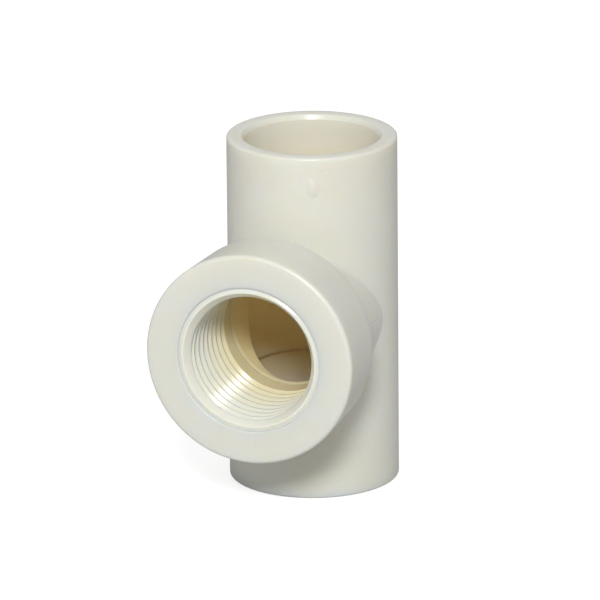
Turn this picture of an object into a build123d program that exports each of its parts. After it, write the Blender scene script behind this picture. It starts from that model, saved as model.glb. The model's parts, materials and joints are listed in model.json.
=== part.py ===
from build123d import *
import os

# Tee for 20 mm rigid PVC pipe: two plain solvent-weld sockets in line on an upright run, and
# a side branch with a 1/2 inch pipe thread. The threaded bush is moulded first, and the ivory
# body is moulded around it. Millimetres, +Z up the run, branch along -Y, origin at the centre
# of the lower socket's mouth.

# ---- run: the straight tube with a socket at each end ----
socket_diameter = 20.2  # 20 mm pipe slides in
socket_depth = 16.0
run_wall = 2.6  # around the sockets
stop_ledge = 0.4  # step that the pushed-in pipe end meets
stop_to_branch_axis = 10.4
socket_lead_in = 0.35  # chamfer inside each mouth
rim_round = 0.35  # soft outer edge of each mouth

# ---- thread of the branch: 1/2 inch parallel pipe thread, 14 turns to the inch ----
thread_major_diameter = 20.955
thread_pitch = 25.4 / 14
thread_depth = 0.64033 * thread_pitch  # from the crests, which the bore is cut to, to the roots

# ---- branch: neck and collar ----
branch_reach = 28.6  # run axis to the collar's face
bush_wall = 0.52  # bush outside the thread's grooves
neck_cover = 1.2  # body over the bush in the neck
neck_root_round = 1.0
collar_wall = 5.52  # bush and body together, outside the thread's grooves
collar_length = 11.1
collar_taper = 0.5  # loss of radius from the collar's face to its back
collar_face_round = 0.55
collar_back_round = 0.3
collar_root_round = 0.5
bush_seat_wall = 0.85  # body between the bush's inner end and the run's waterway
neck_bore_step = 0.2  # the body's own bore is this much narrower than the bush's, in radius

# ---- bush: mouth and anchoring rings ----
mouth_cone_inset = 0.2  # the mouth's cone opens this much less than the grooves, in radius
mouth_cone_depth = 1.5
mouth_recess = 0.12  # bush's front face behind the collar's face
seam_width = 0.55  # open groove around the bush's front edge
seam_depth = 0.32
ring_height = 2.0  # hidden rings that lock the bush in the body
ring_length = 2.2
ring_gap = 1.8
ring_notches = 8
notch_width = 2.4

# ---- sizes that follow ----
socket_radius = socket_diameter / 2
run_radius = socket_radius + run_wall
run_length = 2 * (socket_depth + stop_to_branch_axis)
axis_height = run_length / 2
waterway_radius = socket_radius - stop_ledge
thread_major_radius = thread_major_diameter / 2
thread_minor_radius = thread_major_radius - thread_depth
bush_radius = thread_major_radius + bush_wall
bush_back = waterway_radius + bush_seat_wall  # bush's inner end, from the run axis
neck_radius = bush_radius + neck_cover
neck_bore_radius = thread_minor_radius - neck_bore_step
collar_radius = thread_major_radius + collar_wall
collar_back = branch_reach - collar_length
overcut = 2.0  # how far a cutting tool runs past the face it opens

branch_plane = Plane(origin=(0, 0, axis_height), x_dir=(1, 0, 0), z_dir=(0, -1, 0))


def bar(radius, start, end):
    """Solid cylinder about Z from one height to another."""
    return Pos(0, 0, start) * Cylinder(radius, end - start, align=(Align.CENTER, Align.CENTER, Align.MIN))


def turned(outline):
    """Solid of revolution about Z of a closed outline of (radius, height) points."""
    section = Plane.XZ * make_face(Polyline(*outline, close=True))
    return revolve(section, Axis.Z)


def to_branch(shape):
    """Moves a shape made about Z onto the branch, with its height measured from the run axis."""
    return branch_plane.location * shape


def rings_at(shape, height, radius):
    """Circular edges of a shape about Z at one height and radius."""
    near = 0.01
    circles = shape.edges().filter_by(GeomType.CIRCLE)
    return [e for e in circles if abs(e.radius - radius) < near and abs(e.center().Z - height) < near]


def run_outside():
    """Outside of the run, with soft edges at both mouths."""
    tube = bar(run_radius, 0, run_length)
    return fillet(rings_at(tube, 0, run_radius) + rings_at(tube, run_length, run_radius), rim_round)


def collar_outside():
    """Thick collar with slightly tapered side and rounded edges, about Z."""
    back_radius = collar_radius - collar_taper
    collar = turned(
        [(0, collar_back), (back_radius, collar_back), (collar_radius, branch_reach), (0, branch_reach)]
    )
    collar = fillet(rings_at(collar, branch_reach, collar_radius), collar_face_round)
    return fillet(rings_at(collar, collar_back, back_radius), collar_back_round)


def branch_outside():
    """Neck and collar in one, with a soft corner where the neck meets the collar's back."""
    branch = bar(neck_radius, 0, collar_back + overcut) + collar_outside()
    return fillet(rings_at(branch, collar_back, neck_radius), collar_root_round)


def run_inside():
    """Waterway through the run, a socket at each end and the sockets' lead-in chamfers."""
    lead_in_radius = socket_radius + socket_lead_in
    lower = turned(
        [
            (0, -overcut),
            (lead_in_radius, -overcut),
            (lead_in_radius, 0),
            (socket_radius, socket_lead_in),
            (socket_radius, socket_depth),
            (0, socket_depth),
        ]
    )
    upper = Pos(0, 0, run_length) * Rot(180, 0, 0) * lower
    return bar(waterway_radius, 0, run_length) + lower + upper


def anchoring_ring(start):
    """One hidden ring of the bush, notched so that the bush can't turn in the body."""
    ring = bar(bush_radius + ring_height, start, start + ring_length)
    notch = Box(2 * ring_height, notch_width, ring_length)
    middle = start + ring_length / 2
    for place in PolarLocations(bush_radius + ring_height, ring_notches):
        ring -= Pos(0, 0, middle) * place * notch
    return ring


def bush_outside(front):
    """Outside of the bush, from its inner end to the given height, with its anchoring rings."""
    rings = [collar_back + ring_gap + i * (ring_length + ring_gap) for i in range(2)]
    body = bar(bush_radius, bush_back, front)
    for start in rings:
        body += anchoring_ring(start)
    return body


def mouth_opening():
    """What is cut from the bush's front: the cone into the thread and the groove of the seam."""
    cone_radius = thread_major_radius - mouth_cone_inset
    seam_radius = bush_radius - seam_width
    front = branch_reach - mouth_recess
    cone = turned(
        [
            (0, branch_reach - mouth_cone_depth),
            (thread_minor_radius, branch_reach - mouth_cone_depth),
            (cone_radius, front),
            (cone_radius, branch_reach + overcut),
            (0, branch_reach + overcut),
        ]
    )
    seam = bar(bush_radius + overcut, branch_reach - seam_depth, branch_reach + overcut)
    seam -= bar(seam_radius, branch_reach - seam_depth, branch_reach + overcut)
    return cone + seam


def make_bush():
    """Threaded bush that the body is moulded around, bored to the thread's crests."""
    bush = bush_outside(branch_reach - mouth_recess)
    bush -= bar(thread_minor_radius, bush_back - overcut, branch_reach + overcut)
    bush -= mouth_opening()
    return to_branch(bush)


def make_body():
    """Body of the tee: run, neck and collar, hollow, with the bush's seat left open."""
    branch = to_branch(branch_outside())
    body = run_outside() + branch
    meeting = [e for e in body.edges() if e.geom_type not in (GeomType.CIRCLE, GeomType.LINE)]
    body = fillet(meeting, neck_root_round)
    body -= run_inside()
    body -= to_branch(bar(neck_bore_radius, 0, bush_back + overcut))
    body -= to_branch(bush_outside(branch_reach + overcut))
    return body


def main():
    os.makedirs("parts", exist_ok=True)
    for name, shape in (("tee_body", make_body()), ("threaded_bush", make_bush())):
        solid = shape.solid()
        solid.label = name
        export_step(solid, f"parts/{name}.step")


main()
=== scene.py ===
import json
import math

import bmesh
import bpy
import numpy as np
from mathutils import Matrix, Vector


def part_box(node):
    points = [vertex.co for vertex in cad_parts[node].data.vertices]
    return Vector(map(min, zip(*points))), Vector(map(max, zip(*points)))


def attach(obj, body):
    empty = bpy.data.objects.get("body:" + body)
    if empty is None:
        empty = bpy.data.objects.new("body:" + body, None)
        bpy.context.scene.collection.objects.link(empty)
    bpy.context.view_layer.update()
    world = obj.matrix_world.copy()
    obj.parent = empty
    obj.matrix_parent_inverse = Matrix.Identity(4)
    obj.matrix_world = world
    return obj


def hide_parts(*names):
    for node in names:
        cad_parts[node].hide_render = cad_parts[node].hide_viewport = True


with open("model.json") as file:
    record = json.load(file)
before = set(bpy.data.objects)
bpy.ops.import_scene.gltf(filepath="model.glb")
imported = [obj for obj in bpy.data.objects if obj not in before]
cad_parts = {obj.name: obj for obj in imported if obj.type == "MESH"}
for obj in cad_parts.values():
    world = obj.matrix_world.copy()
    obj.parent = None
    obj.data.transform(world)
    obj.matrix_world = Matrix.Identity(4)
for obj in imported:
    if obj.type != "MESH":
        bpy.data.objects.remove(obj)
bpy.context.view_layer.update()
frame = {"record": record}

# ------------------------------------------------------------------------------------------
# Tee body. One ivory PVC injection moulding: a straight run with a plain socket at each end,
# a short neck and the thick collar that grips the threaded bush. It is shot around the bush,
# on two steel cores that draw out along the run and one that draws out along the branch.
# ------------------------------------------------------------------------------------------
mm = 0.001
mounts = {m["name"]: m for m in frame["record"]["mounts"]}
body_low, body_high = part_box("tee_body")
_, bush_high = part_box("threaded_bush")

run_length = body_high.z
axis_height = run_length / 2
run_radius = body_high.y
socket_radius = mounts["lower_socket"]["dims"]["r_mm"] * mm
socket_depth = 16.0 * mm
stop_ledge = 0.4 * mm
socket_lead_in = 0.35 * mm
rim_round = 0.35 * mm
waterway_radius = socket_radius - stop_ledge

branch_reach = -body_low.y
collar_radius = body_high.x
collar_length = 11.1 * mm
collar_taper = 0.5 * mm  # loss of radius from the collar's face to its back
collar_face_round = 0.55 * mm
collar_back_round = 0.3 * mm
collar_root_round = 0.5 * mm
collar_back = branch_reach - collar_length
collar_back_radius = collar_radius - collar_taper
neck_radius = 12.2 * mm
neck_root_round = 1.0 * mm
bush_radius = 11.0 * mm
bush_back = -bush_high.y
thread_minor_radius = mounts["branch_thread"]["dims"]["r_mm"] * mm
neck_bore_step = 0.2 * mm
neck_bore_radius = thread_minor_radius - neck_bore_step
seat_edge_round = 0.16 * mm  # where the bush's seat opens in the collar's face
seat_root_round = 0.05 * mm
waterway_edge_round = 0.15 * mm
longest_step = 1.2 * mm  # between rows of points along a straight wall

front_angle = math.radians(100)  # the run's wall within this of the branch is laid around the neck
across, upward, behind = 80, 48, 64  # faces across that stretch, up it, and round the run's back


class Skin:
    """Collects grids of points and turns them into one closed, smooth mesh."""

    def __init__(self):
        self.points = []
        self.faces = []

    def add(self, rows, closed=True):
        """Adds a grid of rows of points. A closed grid joins each row's last point to its first."""
        rows = np.asarray(rows, float)
        height, width = rows.shape[:2]
        first = sum(len(p) for p in self.points)
        index = first + np.arange(height * width).reshape(height, width)
        if closed:
            index = np.concatenate([index, index[:, :1]], axis=1)
        quads = np.stack([index[:-1, :-1], index[:-1, 1:], index[1:, 1:], index[1:, :-1]], axis=-1)
        self.points.append(rows.reshape(-1, 3))
        self.faces += quads.reshape(-1, 4).tolist()

    def make(self, name):
        """The finished object, with shared points merged and its faces pointing outwards."""
        mesh = bpy.data.meshes.new(name)
        mesh.from_pydata(np.concatenate(self.points).tolist(), [], self.faces)
        shape = bmesh.new()
        shape.from_mesh(mesh)
        bmesh.ops.remove_doubles(shape, verts=shape.verts, dist=0.0005 * mm)
        bmesh.ops.recalc_face_normals(shape, faces=shape.faces)
        for face in shape.faces:
            face.smooth = True
        shape.to_mesh(mesh)
        shape.free()
        piece = bpy.data.objects.new(name, mesh)
        bpy.context.scene.collection.objects.link(piece)
        return piece


def softened(corners, radii, steps=6):
    """Outline of (radius, height) points with each inner corner replaced by a tangent arc."""
    outline = [np.array(corners[0], float)]
    for before, corner, after, radius in zip(corners, corners[1:], corners[2:], radii):
        corner = np.array(corner, float)
        back = np.array(before, float) - corner
        ahead = np.array(after, float) - corner
        back /= np.linalg.norm(back)
        ahead /= np.linalg.norm(ahead)
        half = math.acos(float(np.clip(back @ ahead, -1, 1))) / 2
        centre = corner + (back + ahead) / np.linalg.norm(back + ahead) * radius / math.sin(half)
        start = corner + back * radius / math.tan(half) - centre
        end = corner + ahead * radius / math.tan(half) - centre
        turn = math.pi - 2 * half
        for i in range(steps + 1):
            t = i / steps
            arm = (math.sin((1 - t) * turn) * start + math.sin(t * turn) * end) / math.sin(turn)
            outline.append(centre + arm)
    outline.append(np.array(corners[-1], float))
    return outline


def with_steps(outline, longest):
    """The same outline with long straight stretches split, so that no face is a long sliver."""
    dense = [outline[0]]
    for a, b in zip(outline, outline[1:]):
        count = max(1, math.ceil(np.linalg.norm(b - a) / longest))
        dense += [a + (b - a) * (i + 1) / count for i in range(count)]
    return dense


def around_run(angle, height, radius):
    """A point of the run's wall: angle 0 faces the branch, height is from the branch's axis."""
    return np.stack(
        [radius * np.sin(angle), -radius * np.cos(angle), axis_height + height + 0 * angle], axis=-1
    )


def around_branch(angle, reach, radius):
    """A point about the branch's axis: angle 0 is +X, reach is from the run's axis."""
    return np.stack(
        [radius * np.cos(angle), -reach + 0 * angle, axis_height + radius * np.sin(angle)], axis=-1
    )


run_angles = np.concatenate(
    [
        np.linspace(-front_angle, front_angle, across + 1),
        np.linspace(front_angle, 2 * math.pi - front_angle, behind + 1)[1:-1],
    ]
)


def border_of(half_height):
    """The rectangle of the run's wall around the branch, as angles and heights, anticlockwise."""
    wide = np.linspace(-front_angle, front_angle, across + 1)
    tall = np.linspace(-half_height, half_height, upward + 1)
    along, up = 0 * wide[:-1], 0 * tall[:-1]
    angles = np.concatenate([wide[:-1], wide[-1] + up, wide[:0:-1], wide[0] + up])
    heights = np.concatenate([tall[0] + along, tall[:-1], tall[-1] + along, tall[:0:-1]])
    return angles, heights


def lay_junction(skin, main_radius, side_radius, edge_round, half_height, side_rows):
    """A run's wall with a side tube leaving it through a rolled edge of constant radius.

    The edge is what a ball rolling against both tubes would touch. side_rows are the further
    (radius, reach) points of the side tube, from the junction outwards.
    """
    patch_rows, edge_rows, blend_rows = 30, 11, 14
    crowding = 1.5  # draws the patch's rows towards the junction
    border_angle, border_height = border_of(half_height)
    turn = np.arctan2(border_height / half_height, border_angle / front_angle)
    ball_x = (side_radius + edge_round) * np.cos(turn)
    ball_z = (side_radius + edge_round) * np.sin(turn)
    ball_reach = np.sqrt((main_radius + edge_round) ** 2 - ball_x**2)
    ball = np.stack([ball_x, -ball_reach, axis_height + ball_z], axis=-1)
    edge_angle = np.arctan2(ball_x, ball_reach)
    on_run = around_run(edge_angle, ball_z, main_radius)
    on_side = around_branch(turn, ball_reach, side_radius)

    patch = []
    for t in np.linspace(0, 1, patch_rows) ** crowding:
        patch.append(
            around_run(
                edge_angle + (border_angle - edge_angle) * t,
                ball_z + (border_height - ball_z) * t,
                main_radius,
            )
        )
    skin.add(patch)

    edge = []
    for t in np.linspace(0, 1, edge_rows):
        arm = (on_run - ball) * (1 - t) + (on_side - ball) * t
        edge.append(ball + arm / np.linalg.norm(arm, axis=-1, keepdims=True) * edge_round)
    skin.add(edge)

    first_radius, first_reach = side_rows[0]
    first_ring = around_branch(turn, first_reach, first_radius)
    side = [on_side + (first_ring - on_side) * t for t in np.linspace(0, 1, blend_rows)]
    side += [around_branch(turn, reach, radius) for radius, reach in side_rows[1:]]
    skin.add(side)

    back_angles = np.linspace(front_angle, 2 * math.pi - front_angle, behind + 1)
    heights = np.linspace(-half_height, half_height, upward + 1)
    skin.add([around_run(back_angles, h, main_radius) for h in heights], closed=False)


def make_body():
    """Closed mesh of the whole body, outside and inside."""
    skin = Skin()
    stop_height = axis_height - socket_depth
    outer_half = 18.0 * mm  # height over which the outside wall is laid around the neck
    neck_overlap = 1.5 * mm
    face_outline = with_steps(
        softened(
            [
                (neck_radius, collar_back - neck_overlap),
                (neck_radius, collar_back),
                (collar_back_radius, collar_back),
                (collar_radius, branch_reach),
                (bush_radius, branch_reach),
                (bush_radius, bush_back),
                (thread_minor_radius, bush_back),
                (neck_bore_radius, waterway_radius + 0.35 * mm),
            ],
            [
                collar_root_round,
                collar_back_round,
                collar_face_round,
                seat_edge_round,
                seat_root_round,
                0.02 * mm,
            ],
        ),
        longest_step,
    )
    lay_junction(skin, run_radius, neck_radius, neck_root_round, outer_half, face_outline)
    lay_junction(
        skin,
        waterway_radius,
        neck_bore_radius,
        waterway_edge_round,
        stop_height,
        face_outline[-1:],
    )
    mouth_outline = with_steps(
        softened(
            [
                (run_radius, outer_half),
                (run_radius, axis_height),
                (socket_radius + socket_lead_in, axis_height),
                (socket_radius, axis_height - socket_lead_in * 2),
                (socket_radius, stop_height),
                (waterway_radius, stop_height),
            ],
            [rim_round, 0.1 * mm, 0.1 * mm, 0.08 * mm],
        ),
        longest_step,
    )
    for side in (1, -1):
        rings = [around_run(run_angles, side * height, radius) for radius, height in mouth_outline]
        skin.add(rings)
    return skin.make("tee_body_moulding")


tee_body = make_body()


class Sock:
    """A node's socket that takes part in Python arithmetic, each step adding one Math node."""

    def __init__(self, tree, socket):
        self.tree = tree
        self.socket = socket

    def math(self, operation, *others):
        return node(self.tree, "ShaderNodeMath", {"operation": operation}, [self, *others])

    def __add__(self, other):
        return self.math("ADD", other)

    def __radd__(self, other):
        return self.math("ADD", other)

    def __sub__(self, other):
        return self.math("SUBTRACT", other)

    def __rsub__(self, other):
        return (self * -1) + other

    def __mul__(self, other):
        return self.math("MULTIPLY", other)

    def __rmul__(self, other):
        return self.math("MULTIPLY", other)

    def __truediv__(self, other):
        return self.math("DIVIDE", other)

    def ramp(self, low, high):
        """0 below low, 1 above high, and a smooth rise between them."""
        settings = {"interpolation_type": "SMOOTHSTEP", "clamp": True}
        given = {"Value": self, "From Min": low, "From Max": high}
        return node(self.tree, "ShaderNodeMapRange", settings, given)


def node(tree, kind, settings, inputs, output=0):
    """Adds a node: its settings first, then the values or links of its sockets."""
    made = tree.nodes.new(kind)
    for name, value in settings.items():
        setattr(made, name, value)
    pairs = inputs.items() if isinstance(inputs, dict) else enumerate(inputs)
    for key, value in pairs:
        if isinstance(value, Sock):
            tree.links.new(value.socket, made.inputs[key])
        else:
            made.inputs[key].default_value = value
    return Sock(tree, made.outputs[output])


def mix_colour(factor, first, second):
    """One colour turning into another as the factor goes from 0 to 1."""
    tree = factor.tree
    made = tree.nodes.new("ShaderNodeMix")
    made.data_type = "RGBA"
    tree.links.new(factor.socket, made.inputs["Factor"])
    for name, value in (("A", first), ("B", second)):
        socket = [s for s in made.inputs if s.name == name and s.type == "RGBA"][0]
        if isinstance(value, Sock):
            tree.links.new(value.socket, socket)
        else:
            socket.default_value = (*value, 1)
    return Sock(tree, [s for s in made.outputs if s.type == "RGBA"][0])


def noise(place, size, detail=3.0):
    """Even noise whose lumps are about the given size across."""
    settings = {"noise_dimensions": "3D"}
    given = {"Vector": place, "Scale": 1 / size, "Detail": detail}
    return node(place.tree, "ShaderNodeTexNoise", settings, given)


def length_of(first, second):
    """Distance from an axis, out of the two coordinates across it."""
    return (first * first + second * second).math("SQRT")


ivory = (0.745, 0.745, 0.680)
ivory_warm = (0.738, 0.732, 0.645)
# Painted light: the amber that the hollows turn towards deeper in, standing in for light glowing
# through the walls and bouncing inside.
painted_hollow_amber = (0.96, 0.79, 0.45)
gate_turn = math.radians(20)
gate_height = 48.3 * mm
knit_height = 0.6 * mm  # above the branch's axis


def parts_of(vector):
    """The three coordinates of a vector."""
    split = vector.tree.nodes.new("ShaderNodeSeparateXYZ")
    vector.tree.links.new(vector.socket, split.inputs[0])
    return [Sock(vector.tree, part) for part in split.outputs]


def new_plastic(name):
    """Material with a Principled shader, its node tree cleared for the plastic's own nodes."""
    material = bpy.data.materials.new(name)
    material.use_nodes = True
    tree = material.node_tree
    shader = tree.nodes["Principled BSDF"]
    place = node(tree, "ShaderNodeTexCoord", {}, {}, output=3)
    return material, tree, shader, place, *parts_of(place)


def finish_plastic(shader, relief, scatter_length):
    """Adds the surface's relief, in millimetres, and the light that soaks into the plastic."""
    tree = relief.tree
    given = {"Strength": 1.0, "Distance": 1.0 * mm, "Height": relief}
    bump = node(tree, "ShaderNodeBump", {}, given)
    tree.links.new(bump.socket, shader.inputs["Normal"])
    shader.inputs["IOR"].default_value = 1.53
    shader.inputs["Subsurface Weight"].default_value = 0.5
    shader.inputs["Subsurface Radius"].default_value = (1.0, 0.7, 0.3)
    shader.inputs["Subsurface Scale"].default_value = scatter_length


def ivory_moulding():
    """Glossy ivory PVC: faint flow clouds, fine mould grain, a knit line on the neck's sides, and
    an amber tint painted deeper inside the sockets and the branch bore, standing in for the light
    that glows through the walls and bounces inside them.
    """
    material, tree, shader, place, x, y, z = new_plastic("ivory pvc moulding")
    flow = noise(place, size=9 * mm, detail=4.0)
    grain = noise(place, size=0.35 * mm, detail=2.0)
    scuff = noise(place, size=2.2 * mm, detail=5.0)
    skin_colour = mix_colour(flow.ramp(0.35, 0.7), ivory, ivory_warm)

    from_run_axis = length_of(x, y)
    from_branch_axis = length_of(x, z - axis_height)
    # Painted light: the colour turns amber deeper inside the run's sockets and the branch's bore,
    # standing in for light that glows through the walls and bounces inside them.
    in_run = 1 - from_run_axis.ramp(socket_radius - 0.05 * mm, socket_radius + 0.15 * mm)
    run_depth = (axis_height - (z - axis_height).math("ABSOLUTE")).ramp(0, 22 * mm)
    tint_edge = thread_minor_radius + 0.05 * mm
    in_bore = 1 - from_branch_axis.ramp(tint_edge, tint_edge + 0.25 * mm)
    bore_depth = (y + branch_reach).ramp(8 * mm, 20 * mm) * (1 - y.ramp(-2 * mm, 0))
    painted_hollow_tint = (in_run * run_depth).math("MAXIMUM", in_bore * bore_depth)
    shader_colour = mix_colour(painted_hollow_tint, skin_colour, painted_hollow_amber)
    tree.links.new(shader_colour.socket, shader.inputs["Base Color"])

    rough = 0.27 + 0.10 * scuff.ramp(0.45, 0.75) + 0.04 * grain
    tree.links.new(rough.socket, shader.inputs["Roughness"])

    reach = y * -1
    knit = (z - axis_height - knit_height).math("ABSOLUTE")
    before_collar = 1 - reach.ramp(collar_back, collar_back + 0.2 * mm)
    on_neck = reach.ramp(run_radius * 0.3, run_radius * 0.45) * before_collar
    knit_line = (1 - knit.ramp(0.02 * mm, 0.2 * mm)) * on_neck
    gate_x = x - run_radius * math.sin(gate_turn)
    gate_z = (z - gate_height) * 0.6
    from_gate = length_of(gate_x, gate_z) + 0.5 * mm * noise(place, size=0.8 * mm)
    on_front = 1 - (y + run_radius * 0.8).ramp(0, 1 * mm)
    gate = (1 - from_gate.ramp(0.5 * mm, 1.3 * mm)) * on_front
    pit_spacing = 4.5 * mm
    from_pit = node(tree, "ShaderNodeTexVoronoi", {}, {"Vector": place, "Scale": 1 / pit_spacing})
    pits = 1 - from_pit.ramp(0.02, 0.075)
    relief = 0.012 * flow + 0.0016 * grain - 0.05 * knit_line + 0.2 * gate - 0.05 * pits
    finish_plastic(shader, relief, scatter_length=4.0 * mm)
    return material


tee_body.data.materials.append(ivory_moulding())
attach(tee_body, "root")
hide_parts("tee_body")

# ------------------------------------------------------------------------------------------
# Threaded bush. A ring of the same ivory PVC, moulded on a threaded core that is screwed out.
# Its cone leads a male thread in, and an open groove is left where it meets the collar's face.
# ------------------------------------------------------------------------------------------
thread_pitch = 25.4 / 14 * mm
thread_depth = 0.64033 * thread_pitch
thread_flat = 0.3 * mm
thread_turns = 7
thread_flank_angle = math.radians(27.5)
first_groove_depth = 2.70 * mm
thread_start = branch_reach - first_groove_depth - thread_turns * thread_pitch
mouth_cone_radius = 10.28 * mm
mouth_cone_depth = 1.5 * mm
mouth_recess = 0.12 * mm
seam_width = 0.55 * mm
seam_depth = 0.32 * mm
thread_run_out = 1.0 * mm
groove_blend = 0.06 * mm
seat_clearance = 0.01 * mm
# Painted light: the bush's ivory is lighter than the body's, though the ring is the same PVC, to
# brighten the mouth's cone and thread where the lamps leave them dim.
painted_lighter_bush_ivory = (0.83, 0.825, 0.735)
bush_ivory_warm = (0.82, 0.81, 0.705)
# Painted light: the amber that the bush's bore turns towards deeper in, standing in for light
# glowing through the walls and bouncing inside.
painted_bush_hollow_amber = (0.92, 0.80, 0.50)
rows_per_pitch = 30
bush_columns = 160


def make_bush_blank():
    """The bush before its thread: a turned ring with closely spaced rows along its bore."""
    front = branch_reach - mouth_recess
    seam_radius = bush_radius - seam_width
    seam_floor = branch_reach - seam_depth
    outside = bush_radius - seat_clearance
    back = bush_back + seat_clearance
    bore_start = bush_back + 0.2 * mm
    front_inside = seam_radius - 0.15 * mm
    bore = with_steps(
        softened(
            [
                (thread_minor_radius, bore_start),
                (thread_minor_radius, branch_reach - mouth_cone_depth),
                (mouth_cone_radius - 0.1 * mm, front),
                (front_inside, front),
            ],
            [0.1 * mm, 0.05 * mm],
        ),
        thread_pitch / rows_per_pitch,
    )
    rest = softened(
        [
            (front_inside, front),
            (seam_radius, front),
            (seam_radius + 0.3 * mm, seam_floor),
            (outside, seam_floor),
            (outside, back),
            (thread_minor_radius, back),
            (thread_minor_radius, bore_start),
        ],
        [0.3 * mm, 0.3 * mm, 0.03 * mm, 0.05 * mm, 0.01 * mm],
    )
    outline = bore[:-1] + rest
    turn = np.linspace(0, 2 * math.pi, bush_columns, endpoint=False)
    skin = Skin()
    skin.add([around_branch(turn, reach, radius) for radius, reach in outline])
    return skin.make("threaded_bush_moulding")


def thread_tree():
    """Geometry Nodes that press a helical groove into the bore of a turned ring.

    A point of the bore moves outwards to the groove's wall where that lies further out. The
    groove's middle climbs one pitch a turn, right-handed, and sinks back at both ends.
    """
    tree = bpy.data.node_groups.new("helical groove", "GeometryNodeTree")
    interface = tree.interface
    interface.new_socket("Geometry", in_out="INPUT", socket_type="NodeSocketGeometry")
    names = ["Axis height", "Bore radius", "Groove depth", "Flat"]
    names += ["Pitch", "Start", "Mouth", "Outer limit"]
    for name in names:
        interface.new_socket(name, in_out="INPUT", socket_type="NodeSocketFloat")
    interface.new_socket("Plastic", in_out="INPUT", socket_type="NodeSocketMaterial")
    interface.new_socket("Geometry", in_out="OUTPUT", socket_type="NodeSocketGeometry")
    given = tree.nodes.new("NodeGroupInput").outputs
    value = {name: Sock(tree, given[name]) for name in names}

    x, y, z = parts_of(node(tree, "GeometryNodeInputPosition", {}, {}))
    up = z - value["Axis height"]
    reach = y * -1
    radius = (x * x + up * up).math("SQRT")
    turn = up.math("ARCTAN2", x) / (2 * math.pi)
    phase = (reach - value["Start"]) / value["Pitch"] - turn
    nearest = phase.math("ROUND")
    away = (phase - nearest).math("ABSOLUTE") * value["Pitch"]
    climbed = nearest + turn
    slope = math.tan(thread_flank_angle)
    wall = value["Groove depth"] - (away - value["Flat"] / 2).math("MAXIMUM", 0) / slope
    fade = climbed.math("MULTIPLY_ADD", 2.5, 0.2).math("MINIMUM", 1).math("MAXIMUM", 0)
    run_out = ((value["Mouth"] - reach) / thread_run_out).math("MINIMUM", 1).math("MAXIMUM", 0)
    sunk = 1.2 * value["Groove depth"] * (1 - fade * run_out)
    groove = value["Bore radius"] + wall - sunk
    inside = radius.math("LESS_THAN", value["Outer limit"])
    moved = radius.math("SMOOTH_MAX", groove, groove_blend) / radius
    scale = 1 + (moved - 1) * inside

    moved_to = [x * scale, y, value["Axis height"] + up * scale]
    position = node(tree, "ShaderNodeCombineXYZ", {}, moved_to)
    blank_in = Sock(tree, given["Geometry"])
    cut = node(tree, "GeometryNodeSetPosition", {}, {"Geometry": blank_in, "Position": position})
    whole = node(tree, "GeometryNodeRealizeInstances", {}, [cut])
    plastic = Sock(tree, given["Plastic"])
    painted = node(tree, "GeometryNodeSetMaterial", {}, {"Geometry": whole, "Material": plastic})
    result = tree.nodes.new("NodeGroupOutput")
    tree.links.new(painted.socket, result.inputs[0])
    return tree


def ivory_bush_plastic():
    """The bush's ivory PVC: glossier than the body, because a polished core forms its thread. Its
    ivory is painted lighter than the body's, and its bore is painted amber deeper in, standing in
    for light glowing through the walls.
    """
    material, tree, shader, place, x, y, z = new_plastic("ivory pvc bush")
    flow = noise(place, size=6 * mm, detail=3.0)
    grain = noise(place, size=0.3 * mm, detail=2.0)
    skin_colour = mix_colour(flow.ramp(0.35, 0.7), painted_lighter_bush_ivory, bush_ivory_warm)
    # Painted light: deeper in the bore the colour turns amber, standing in for light that glows
    # through the walls and bounces inside.
    from_branch_axis = length_of(x, z - axis_height)
    in_bore = 1 - from_branch_axis.ramp(mouth_cone_radius, mouth_cone_radius + 0.1 * mm)
    depth = (y + branch_reach).ramp(4 * mm, 20 * mm) * in_bore
    colour = mix_colour(depth, skin_colour, painted_bush_hollow_amber)
    tree.links.new(colour.socket, shader.inputs["Base Color"])
    rough = 0.13 + 0.06 * flow + 0.03 * grain
    tree.links.new(rough.socket, shader.inputs["Roughness"])
    relief = 0.006 * flow + 0.0012 * grain
    finish_plastic(shader, relief, scatter_length=1.5 * mm)
    return material


blank = make_bush_blank()
tree = thread_tree()
cutter = blank.modifiers.new("thread", "NODES")
cutter.node_group = tree
sizes = {
    "Axis height": axis_height,
    "Bore radius": thread_minor_radius,
    "Groove depth": thread_depth,
    "Flat": thread_flat,
    "Pitch": thread_pitch,
    "Start": thread_start,
    "Mouth": branch_reach - 0.9 * mm,
    "Outer limit": mouth_cone_radius,
    "Plastic": ivory_bush_plastic(),
}
for item in tree.interface.items_tree:
    if item.in_out == "INPUT" and item.name in sizes:
        cutter[item.identifier] = sizes[item.name]
evaluated = blank.evaluated_get(bpy.context.evaluated_depsgraph_get())
shaped = bpy.data.meshes.new_from_object(evaluated)
blank.modifiers.remove(cutter)
threaded_bush = bpy.data.objects.new("threaded_bush_cut", shaped)
bpy.context.scene.collection.objects.link(threaded_bush)
bpy.data.objects.remove(blank)
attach(threaded_bush, "root")
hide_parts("threaded_bush")

# ------------------------------------------------------------------------------------------
# Studio: a pale floor with no edge in sight, one soft light in front, above and to the right,
# a weak broad one behind on the left, and even pale surroundings. The floor lies a hair below
# the rim that the fitting stands on, so that the two never share a plane.
# ------------------------------------------------------------------------------------------
floor_height = -0.05 * mm


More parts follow.
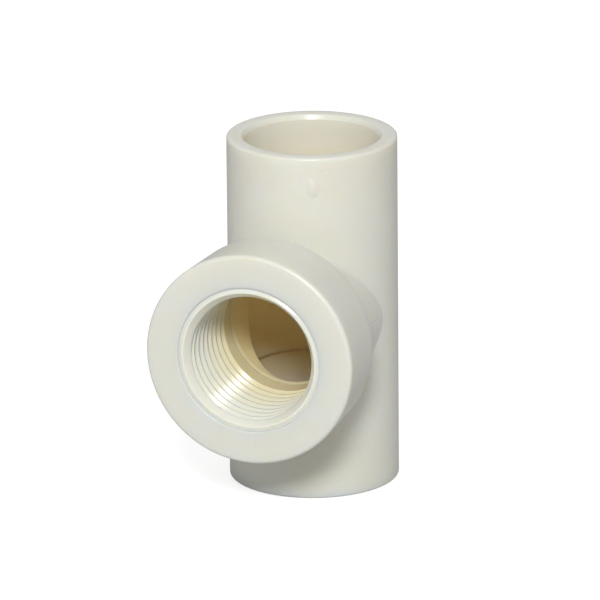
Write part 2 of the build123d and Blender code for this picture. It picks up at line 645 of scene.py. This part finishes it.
def make_floor():
    """Wide pale sheet under the fitting. It looks white to the camera but keeps the shadow."""
    skin = Skin()
    half = 3.0  # metres
    line = np.linspace(-half, half, 5)
    skin.add([[(x, y, floor_height) for x in line] for y in line], closed=False)
    floor = skin.make("studio_floor")
    material = bpy.data.materials.new("white floor")
    material.use_nodes = True
    tree = material.node_tree
    shader = tree.nodes["Principled BSDF"]
    shader.inputs["Base Color"].default_value = (0.5, 0.5, 0.5, 1)
    shader.inputs["Roughness"].default_value = 0.9
    seen = node(tree, "ShaderNodeLightPath", {}, {}, output=0)
    glow = tree.nodes.new("ShaderNodeEmission")
    tree.links.new((seen * 0.72).socket, glow.inputs["Strength"])
    total = tree.nodes.new("ShaderNodeAddShader")
    tree.links.new(shader.outputs[0], total.inputs[0])
    tree.links.new(glow.outputs[0], total.inputs[1])
    tree.links.new(total.outputs[0], tree.nodes["Material Output"].inputs["Surface"])
    floor.data.materials.append(material)


def make_lamp(name, place, width, power, target):
    """Square soft light at a place, turned towards the fitting."""
    lamp = bpy.data.lights.new(name, "AREA")
    lamp.shape = "SQUARE"
    lamp.size = width
    lamp.energy = power
    item = bpy.data.objects.new(name, lamp)
    item.location = place
    item.rotation_euler = (Vector(target) - Vector(place)).to_track_quat("-Z", "Y").to_euler()
    bpy.context.scene.collection.objects.link(item)


def make_world(strength):
    """Even pale surroundings, plain white behind the floor's far edge."""
    world = bpy.data.worlds.new("studio")
    world.use_nodes = True
    tree = world.node_tree
    seen = node(tree, "ShaderNodeLightPath", {}, {}, output=0)
    level = strength + (1 - strength) * seen
    tree.links.new(level.socket, tree.nodes["Background"].inputs["Strength"])
    tree.nodes["Background"].inputs["Color"].default_value = (1, 1, 1, 1)
    bpy.context.scene.world = world


def make_camera():
    """Long lens, turned to the branch's right and looking down a little, levelled on the run."""
    turn, down, lean = math.radians(19.7), math.radians(17.8), math.radians(-0.5)
    distance = 1.2
    centre = Vector((0, 0, axis_height))
    level = math.cos(down)
    back = Vector((math.sin(turn) * level, -math.cos(turn) * level, math.sin(down)))
    right = Vector((math.cos(turn), math.sin(turn), 0))
    up = back.cross(right)
    view_width = 89.6191 * mm  # what the view takes in, across, at the fitting
    slide = right * (-1.95668 * mm) + up * (0.56759 * mm)
    lens = bpy.data.cameras.new("studio_camera")
    lens.sensor_width = 36
    lens.lens = lens.sensor_width * distance / view_width
    lens.clip_start = 0.1
    camera = bpy.data.objects.new("studio_camera", lens)
    turned = Matrix((right, up, back)).transposed().to_4x4() @ Matrix.Rotation(lean, 4, "Z")
    camera.matrix_world = Matrix.Translation(centre + slide + back * distance) @ turned
    bpy.context.scene.collection.objects.link(camera)
    bpy.context.scene.camera = camera


make_floor()
middle = (0, 0, axis_height)
make_lamp("key_light", (0.50, -1.62, 1.10), width=0.34, power=26.5, target=middle)
make_lamp("back_light", (-0.8, 1.5, 1.2), width=0.9, power=2, target=middle)
make_world(strength=0.46)
make_camera()
bpy.context.scene.view_settings.view_transform = "Standard"
